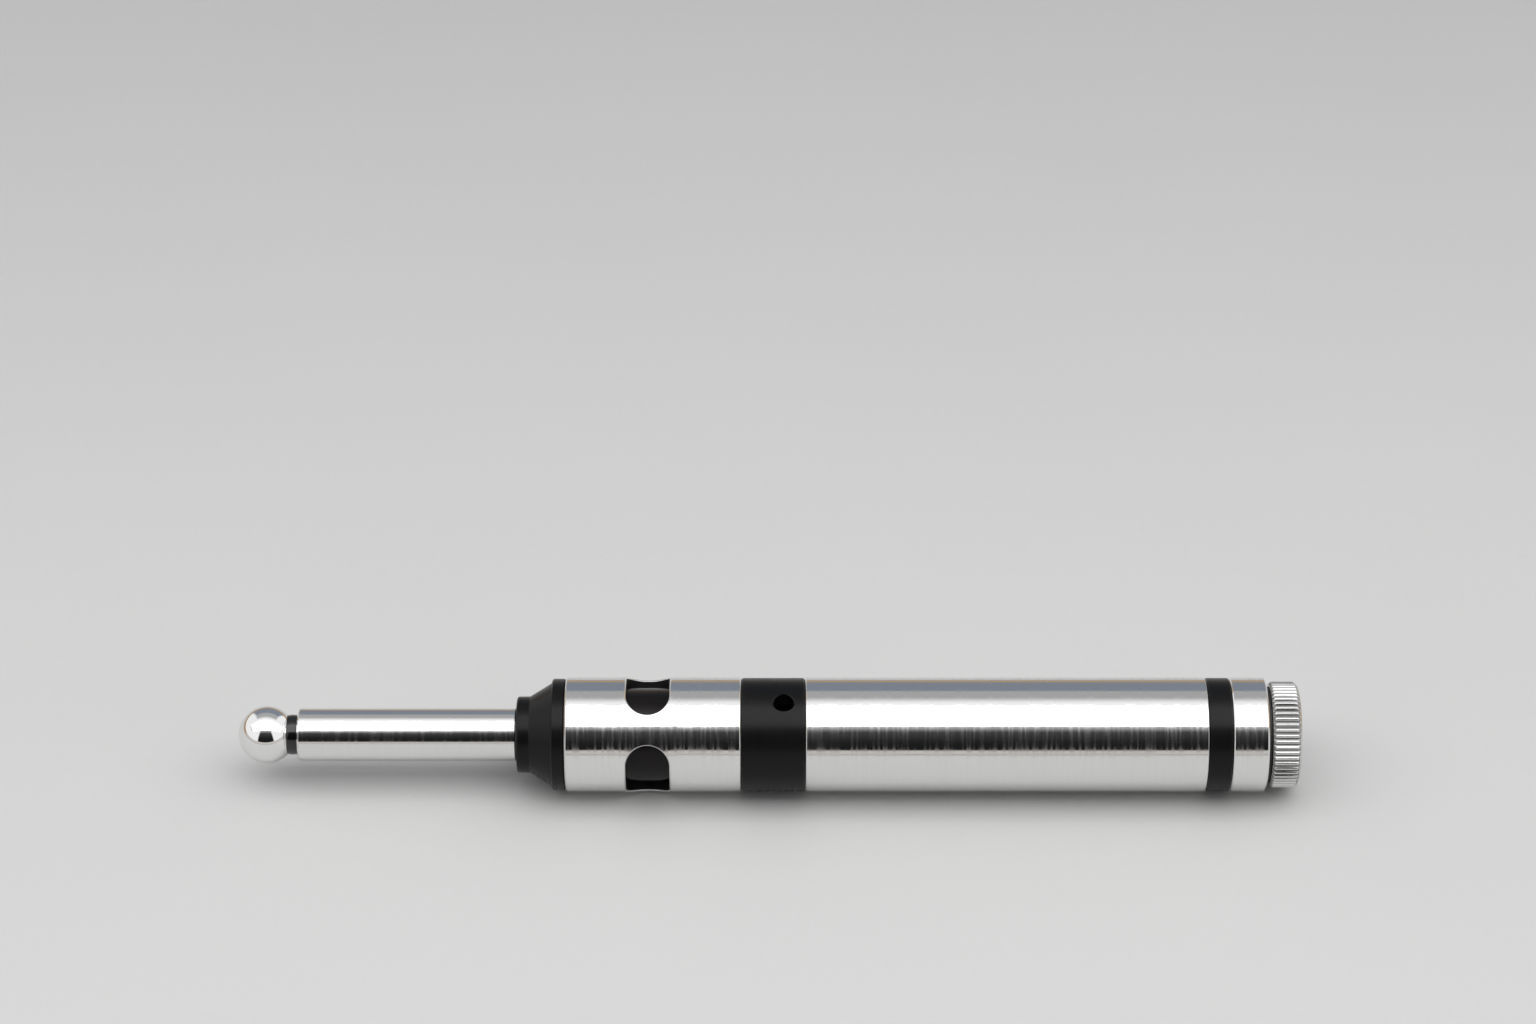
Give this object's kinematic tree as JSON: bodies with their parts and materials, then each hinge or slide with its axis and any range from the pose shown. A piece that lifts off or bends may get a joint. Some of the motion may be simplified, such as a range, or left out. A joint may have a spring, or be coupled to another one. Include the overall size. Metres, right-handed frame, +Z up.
{
  "type": "electronic edge finder",
  "caption": "Electronic edge finder with a sprung ball tip, a windowed lamp tube, a buzzer ring, a straight cylindrical shank and a knurled battery cap.",
  "frame": {"origin": "on the tool's axis, at the middle of the cylindrical shank", "axes": "+X along the tool's axis from the ball to the cap, +Z up as the tool lies, +Y away from the side it is seen from"},
  "size_m": [0.1849, 0.02, 0.02],
  "materials": {
    "polished_steel": "mirror polished",
    "ground_steel": "ground and polished, fine lines round the axis",
    "nickel_cap": "nickel plated, straight knurl",
    "black_plastic": "satin",
    "black_bead": "gloss",
    "smoked_plastic": "gloss, smoked",
    "spring_steel": "drawn wire",
    "brass": "bright",
    "board": "satin",
    "red_lamp": "clear gloss",
    "resistor_body": "gloss",
    "buzzer_case": "satin",
    "red_lead": "satin",
    "blue_lead": "satin",
    "cell_jacket": "gloss",
    "sleeve_plastic": "satin",
    "black_rubber": "matt"
  },
  "bodies": {
    "body": {"stem_tube": "ground_steel", "ball_spring": "spring_steel", "nose_cone": "black_plastic", "solder_lug": "brass", "stem_nut": "spring_steel", "lamp_tube": "ground_steel", "light_sleeve": "smoked_plastic", "lamp_board": "board", "indicator_lamp": "red_lamp", "resistor": "resistor_body", "buzzer": "buzzer_case", "stem_lead": "red_lead", "battery_lead": "blue_lead", "centre_ring": "black_plastic", "battery_contact": "brass", "shank_tube": "ground_steel", "cell_sleeve": "sleeve_plastic", "front_cell": "cell_jacket", "rear_cell": "cell_jacket", "tail_band": "black_plastic", "tail_ring": "ground_steel"},
    "rod": {"pull_rod": "spring_steel", "rod_nut": "brass"},
    "seat": {"ball_seat": "black_bead"},
    "ball": {"contact_ball": "polished_steel", "ball_stud": "spring_steel"},
    "cap_carrier": {"cap_spring": "spring_steel", "cap_seal": "black_rubber"},
    "cap": {"end_cap": "nickel_cap"}
  },
  "joints": [
    {"name": "ball_pull", "type": "slide", "parent": "body", "child": "rod", "axis": [-1, 0, 0], "range_m": [0, 0.003], "stiffness_N_per_m": 800, "springref_m": -0.006, "deforming": ["ball_spring"]},
    {"name": "ball_tilt_sideways", "type": "hinge", "parent": "rod", "child": "seat", "pos_m": [-0.1244, 0, 0], "axis": [0, 0, 1], "range_deg": [-20, 20], "stiffness_Nm_per_rad": 0.06},
    {"name": "ball_tilt_upright", "type": "hinge", "parent": "seat", "child": "ball", "pos_m": [-0.1244, 0, 0], "axis": [0, 1, 0], "range_deg": [-20, 20], "stiffness_Nm_per_rad": 0.06},
    {"name": "cap_slide", "type": "slide", "parent": "body", "child": "cap_carrier", "axis": [1, 0, 0], "range_m": [0, 0.007], "deforming": ["cap_spring"]},
    {"name": "cap_turn", "type": "hinge", "parent": "cap_carrier", "child": "cap", "pos_m": [0.0485, 0, 0], "axis": [1, 0, 0], "range_deg": [0, 2520]}
  ],
  "couplings": [
    {"joint": "cap_slide", "follows": "cap_turn", "m_per_rad": 0.00015915}
  ]
}
